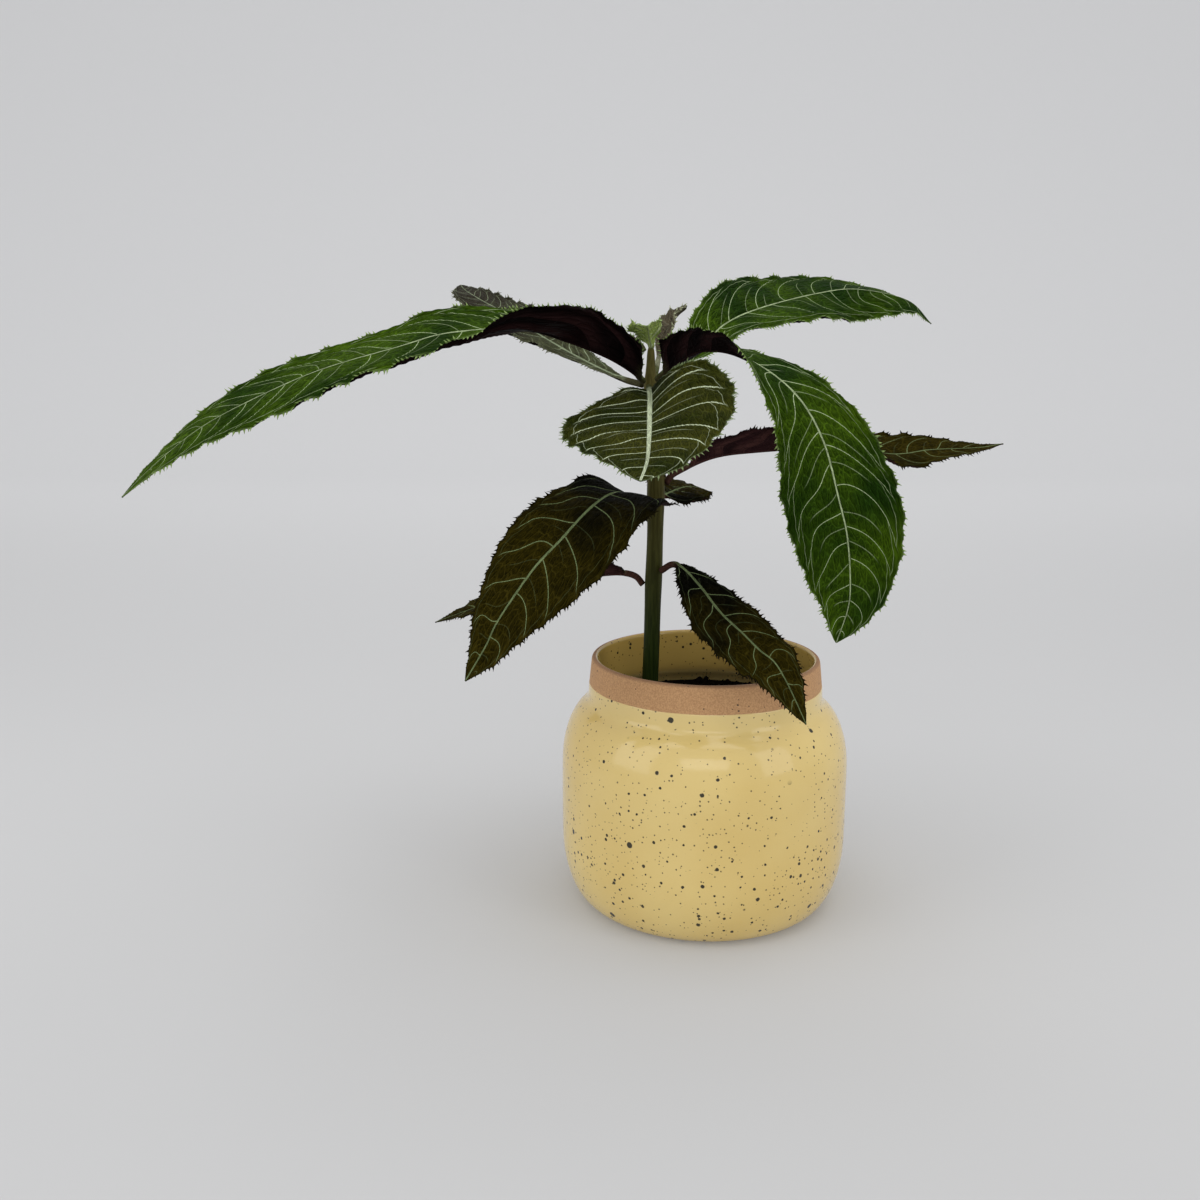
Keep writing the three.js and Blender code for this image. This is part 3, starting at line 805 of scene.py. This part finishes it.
def leaf_grid(leaf, steps_along, steps_round):
    """The leaf's closed skin, rolled from a grid: top from left to right, underside back to the left."""
    deselect_all()
    bpy.ops.mesh.primitive_grid_add(x_subdivisions=steps_along, y_subdivisions=steps_round, size=1)
    piece = bpy.context.object
    piece.name = leaf.name.replace("leaf", "blade")
    flat = np.empty(len(piece.data.vertices) * 3)
    piece.data.vertices.foreach_get("co", flat)
    flat = flat.reshape(-1, 3)
    share = flat[:, 0] + 0.5
    around = flat[:, 1] + 0.5
    straight = np.where(around < 0.5, 4 * around - 1, 3 - 4 * around)
    reach = np.abs(straight)
    across = np.sign(straight) * (reach + reach**2 * (3 - 2 * reach)) / 2
    return piece, share, across, around


def vein_pitch(leaf, share, across):
    """Millimetres from one side vein to the next, square to them."""
    step = 0.002
    inner = np.clip(across, -0.99, 0.99)
    down = leaf.surface(share - step, inner, 1.0, 0)
    upto = leaf.surface(share + step, inner, 1.0, 0)
    rank_on = leaf.vein_rank(leaf.blade_share(share + step), inner)
    rank_back = leaf.vein_rank(leaf.blade_share(share - step), inner)
    rate_on = (rank_on - rank_back) / np.maximum(np.linalg.norm(upto - down, axis=1), 1e-3)
    sway = 0.01
    left = leaf.surface(share, inner - sway, 1.0, 0)
    right = leaf.surface(share, inner + sway, 1.0, 0)
    blade = leaf.blade_share(share)
    rate_out = leaf.vein_rank(blade, inner + sway) - leaf.vein_rank(blade, inner - sway)
    rate_out = rate_out / np.maximum(np.linalg.norm(right - left, axis=1), 1e-3)
    rate_out = np.where(np.abs(inner) < 0.06, 0, rate_out)
    return 1 / np.maximum(np.hypot(rate_on, rate_out), 0.01)


def store(mesh, name, values):
    mesh.attributes.new(name, "FLOAT", "POINT").data.foreach_set("value", values.astype(np.float32))


def tooth_rows(leaf):
    """Marginal teeth: small bent cones whose roots lie in the margin."""
    vertices, faces, edges, widths = [], [], [], []
    rows = [(-0.35, 0.75, 0.22), (0.35, 0.34, 0.16)]  # travel from the margin, width, thickness
    ring = [(1, 0), (0, 1), (-1, 0), (0, -1)]
    blade_part = 1 - leaf.petiole_share
    count = int(leaf.length * blade_part / TOOTH_SPACING)
    for side in (-1.0, 1.0):
        steps = np.arange(count) + 0.5 + 0.5 * (leaf.rng.random(count) - 0.5)
        share = leaf.petiole_share + steps / count * blade_part
        share = share[share < 0.985]
        across = np.full(len(share), side)
        root = leaf.surface(share, across, 1.0)
        inner = leaf.surface(share, across * 0.95, 1.0)
        on = leaf.surface(share + 0.004, across, 1.0) - leaf.surface(share - 0.004, across, 1.0)
        on = on / np.linalg.norm(on, axis=1, keepdims=True)
        out = root - inner
        out = out - np.sum(out * on, axis=1, keepdims=True) * on
        reach = np.linalg.norm(out, axis=1, keepdims=True)
        out = out / np.maximum(reach, 1e-6)
        normal = np.cross(on, out)
        width = leaf.half_width(leaf.blade_share(share), across > 0)
        size = np.clip(width / 6, 0.25, 1)[:, None]
        length = TOOTH_LENGTH * size * (0.65 + 0.7 * leaf.rng.random((len(share), 1)))
        lean = 0.25 + 0.5 * leaf.rng.random((len(share), 1))
        tilt = 0.9 * (leaf.rng.random((len(share), 1)) - 0.45)
        point = out + on * lean + normal * tilt
        point = point / np.linalg.norm(point, axis=1, keepdims=True)
        for index in range(len(share)):
            if width[index] < NARROWEST_TOOTHED:
                continue
            first = len(vertices)
            for travel, wide, thick in rows:
                reached = out[index] * travel if travel < 0 else point[index] * travel * length[index]
                middle = root[index] + reached
                for step_on, step_up in ring:
                    spread = on[index] * step_on * wide * size[index] + normal[index] * step_up * thick
                    vertices.append(middle + spread)
                    edges.append(-travel if travel < 0 else -0.4 * length[index][0])
            vertices.append(root[index] + point[index] * length[index])
            edges.append(-length[index][0])
            widths += [width[index]] * (len(vertices) - first)
            faces.append((first + 3, first + 2, first + 1, first))
            for i in range(4):
                j = (i + 1) % 4
                faces.append((first + i, first + j, first + 4 + j, first + 4 + i))
                faces.append((first + 4 + i, first + 4 + j, first + 8))
    return np.array(vertices), faces, np.array(edges), np.array(widths)


def build_teeth(leaf):
    vertices, faces, edges, widths = tooth_rows(leaf)
    mesh = bpy.data.meshes.new(leaf.name + "_teeth")
    mesh.from_pydata((vertices * MM).tolist(), [], faces)
    store(mesh, "from_rib", widths)
    store(mesh, "edge", edges)
    steady = {"rank": 0.0, "pitch": 9.0, "run": 0.0, "stalk": 0.0, "rib_width": 0.1, "tipward": 0.5}
    for attribute, value in steady.items():
        store(mesh, attribute, np.full(len(vertices), value))
    teeth = bpy.data.objects.new(mesh.name, mesh)
    bpy.context.scene.collection.objects.link(teeth)
    return teeth


def build_leaf(name, measures, top, under, slot):
    leaf = Leaf(name, measures)
    steps_along = max(FEWEST_ROWS, min(MOST_ROWS, int(leaf.length * ROWS_PER_MM)))
    steps_round = FINE_GRID if max(measures["half"]) > WIDE_LEAF else COARSE_GRID
    piece, share, across, around = leaf_grid(leaf, steps_along, steps_round)
    face = np.where(around < 0.5, 1.0, -1.0)
    places = leaf.surface(share, across, face)
    mesh = piece.data
    mesh.vertices.foreach_set("co", (places * MM).ravel())
    blade = leaf.blade_share(share)
    width = np.maximum(leaf.half_width(blade, across >= 0), 0.5)
    store(mesh, "from_rib", np.abs(across) * width)
    store(mesh, "edge", (1 - np.abs(across)) * width)
    store(mesh, "rank", leaf.vein_rank(blade, across))
    store(mesh, "pitch", vein_pitch(leaf, share, across))
    store(mesh, "run", share * leaf.length)
    store(mesh, "stalk", 1 - np.clip(blade / 0.04 + 0.2, 0, 1))
    store(mesh, "rib_width", measures["rib"] * (0.35 + 0.85 * np.clip(1 - blade, 0, 1)))
    store(mesh, "tipward", np.clip(blade, 0, 1))
    corners = np.empty(len(mesh.polygons) * 4, int)
    mesh.loops.foreach_get("vertex_index", corners)
    faces_up = around[corners.reshape(-1, 4)].mean(axis=1) < 0.5
    mesh.materials.append(top)
    mesh.materials.append(under)
    mesh.polygons.foreach_set("material_index", np.where(faces_up, 0, 1))
    select_only(piece)
    bpy.ops.object.mode_set(mode="EDIT")
    bpy.ops.mesh.select_all(action="SELECT")
    bpy.ops.mesh.remove_doubles(threshold=0.00001)
    bpy.ops.mesh.select_all(action="DESELECT")
    bpy.ops.mesh.select_non_manifold()
    bpy.ops.mesh.fill()
    bpy.ops.object.mode_set(mode="OBJECT")
    teeth = build_teeth(leaf)
    teeth.data.materials.append(top)
    select_only(piece, teeth)
    bpy.ops.object.join()
    bpy.ops.object.mode_set(mode="EDIT")
    bpy.ops.mesh.select_all(action="SELECT")
    bpy.ops.mesh.normals_make_consistent(inside=False)
    bpy.ops.object.mode_set(mode="OBJECT")
    bpy.ops.object.shade_smooth()
    declared(piece, name)


def build_leaves():
    green_top = top_finish(
        "green_leaf_top", shade(0.042, 0.083, 0.002), shade(0.007, 0.024, 0.0005), shade(0.52, 0.63, 0.35),
        shade(0.055, 0.060, 0.020), shade(0.26, 0.36, 0.12), 0.03)
    olive_top = top_finish(
        "olive_leaf_top", shade(0.042, 0.044, 0.005), shade(0.011, 0.017, 0.001), shade(0.66, 0.74, 0.50),
        shade(0.055, 0.060, 0.020), shade(0.22, 0.28, 0.13), 0.015)
    # a grey copy of the green top: its grey and brown are a painted sheen of the hairy top seen edge-on
    painted_sheen_top = top_finish(
        "grey_leaf_top", shade(0.060, 0.068, 0.030), shade(0.024, 0.021, 0.012), shade(0.34, 0.40, 0.25),
        shade(0.060, 0.055, 0.022), shade(0.16, 0.17, 0.10), 0.05, -0.6)
    # the shift of 0.75 darkens these leaves towards the stem: painted shade from the leaves above them
    dark_top = top_finish(
        "dark_leaf_top", shade(0.028, 0.0215, 0.0015), shade(0.0025, 0.0025, 0.0008),
        shade(0.24, 0.31, 0.14), shade(0.060, 0.028, 0.020), shade(0.012, 0.009, 0.004), 0.01, 0.75, 0.35)
    young_top = top_finish(
        "young_leaf_top", shade(0.20, 0.30, 0.06), shade(0.10, 0.17, 0.03), shade(0.50, 0.58, 0.30),
        shade(0.12, 0.14, 0.04), shade(0.45, 0.55, 0.26), 0.15)
    bud_top = top_finish(
        "bud_leaf_top", shade(0.080, 0.065, 0.038), shade(0.040, 0.032, 0.020), shade(0.22, 0.22, 0.14),
        shade(0.10, 0.11, 0.04), shade(0.40, 0.42, 0.26), 0.1)
    maroon_under = under_finish(
        "maroon_underside", shade(0.006, 0.0025, 0.0025), shade(0.0015, 0.001, 0.001),
        shade(0.020, 0.008, 0.008), shade(0.05, 0.045, 0.018))
    wine_under = under_finish(
        "wine_underside", shade(0.034, 0.012, 0.013), shade(0.010, 0.005, 0.005),
        shade(0.070, 0.030, 0.026), shade(0.060, 0.028, 0.020))
    green_under = under_finish(
        "green_underside", shade(0.36, 0.46, 0.12), shade(0.22, 0.32, 0.06), shade(0.62, 0.68, 0.40),
        shade(0.18, 0.20, 0.06))
    faces = {
        "leaf_front": (olive_top, maroon_under, "green_leaf"),
        "leaf_back_left": (painted_sheen_top, maroon_under, "green_leaf"),
        "young_leaf_front": (young_top, green_under, "young_leaf"),
        "young_leaf_back": (bud_top, bud_top, "young_leaf"),
        "young_leaf_left": (bud_top, bud_top, "young_leaf"),
    }
    for name, measures in LEAVES.items():
        if name in DARK_LEAVES:
            build_leaf(name, measures, dark_top, wine_under, "dark_leaf")
        else:
            build_leaf(name, measures, *faces.get(name, (green_top, maroon_under, "green_leaf")))


# ---------- stage, light and camera ----------

SWEEP_WIDTH = 10  # metres, as are the others here
SWEEP_DEPTH = 5
SWEEP_MIDDLE = -0.5
BEND_RADIUS = 1.2
BEND_STEPS = 16
WALL_TOP = 4


def build_stage():
    """A pale sweep: floor, a wide bend and a wall."""
    deselect_all()
    bpy.ops.mesh.primitive_plane_add(size=1, location=(0, 0, -0.0002))
    sweep = bpy.context.object
    sweep.name = "pale_sweep"
    sweep.scale = (SWEEP_WIDTH, SWEEP_DEPTH, 1)
    sweep.location.y = SWEEP_MIDDLE
    apply_place(sweep)
    bpy.ops.object.mode_set(mode="EDIT")
    bpy.ops.mesh.select_all(action="DESELECT")
    bpy.ops.object.mode_set(mode="OBJECT")
    for vertex in sweep.data.vertices:
        vertex.select = vertex.co.y > SWEEP_MIDDLE
    sweep.data.edges.foreach_set("select", [all(sweep.data.vertices[i].select for i in edge.vertices)
                                            for edge in sweep.data.edges])
    bpy.ops.object.mode_set(mode="EDIT")
    turns = [math.pi / 2 * i / BEND_STEPS for i in range(BEND_STEPS + 1)]
    path = [(BEND_RADIUS * math.sin(turn), BEND_RADIUS * (1 - math.cos(turn))) for turn in turns]
    path.append((BEND_RADIUS, WALL_TOP))
    for (back, height), (next_back, next_height) in zip(path, path[1:]):
        move = (0, next_back - back, next_height - height)
        bpy.ops.mesh.extrude_region_move(TRANSFORM_OT_translate={"value": move})
    bpy.ops.object.mode_set(mode="OBJECT")
    bpy.ops.object.shade_smooth()
    finish = Finish("pale_paper", Roughness=1.0, Specular_IOR_Level=0.0, Emission_Strength=0.1)
    finish.coat("Emission Color", shade(1.0, 1.0, 1.005))
    depth = finish.split(finish.place())[1]
    near = finish.mix(finish.rise(depth, -0.4, 0.3), shade(0.46, 0.46, 0.46), shade(0.505, 0.505, 0.505))
    finish.coat("Base Color", finish.mix(finish.rise(depth, 0.3, 2.0), near, shade(0.755, 0.755, 0.755)))
    sweep.data.materials.append(finish.material)


def softbox(name, place, target, size, power):
    light = bpy.data.lights.new(name, "AREA")
    light.shape = "RECTANGLE"
    light.size, light.size_y = size
    light.energy = power
    lamp = bpy.data.objects.new(name, light)
    lamp.location = place
    aim = Vector(target) - Vector(place)
    lamp.rotation_euler = aim.to_track_quat("-Z", "Y").to_euler()
    bpy.context.scene.collection.objects.link(lamp)


def light_room():
    world = bpy.data.worlds.new("soft_room")
    bpy.context.scene.world = world
    world.use_nodes = True
    background = world.node_tree.nodes["Background"]
    background.inputs["Color"].default_value = shade(0.62, 0.625, 0.64)
    background.inputs["Strength"].default_value = 1.0
    middle = (0, 0, 0.15)
    softbox("top_softbox", (0, -0.1, 1.5), middle, (1.6, 1.6), 10)
    softbox("left_softbox", (-1.4, -0.7, 0.8), middle, (1.0, 1.2), 5)
    softbox("right_softbox", (1.3, -0.9, 0.7), middle, (0.8, 1.0), 3.5)
    softbox("front_softbox", (-0.1, -1.7, 0.9), middle, (1.2, 0.5), 3.5)


def build_camera():
    camera_data = bpy.data.cameras.new("front_camera")
    camera_data.lens = 36
    camera_data.sensor_width = 36
    camera = bpy.data.objects.new("front_camera", camera_data)
    camera.location = Vector((-53.6, -592, 282)) * MM
    camera.rotation_euler = (math.radians(90 - 12), 0, 0)
    bpy.context.scene.collection.objects.link(camera)
    bpy.context.scene.camera = camera
    bpy.context.scene.view_settings.view_transform = "Standard"


build_camera()
build_stage()
light_room()
build_pot()
build_soil()
build_stem()
build_leaves()
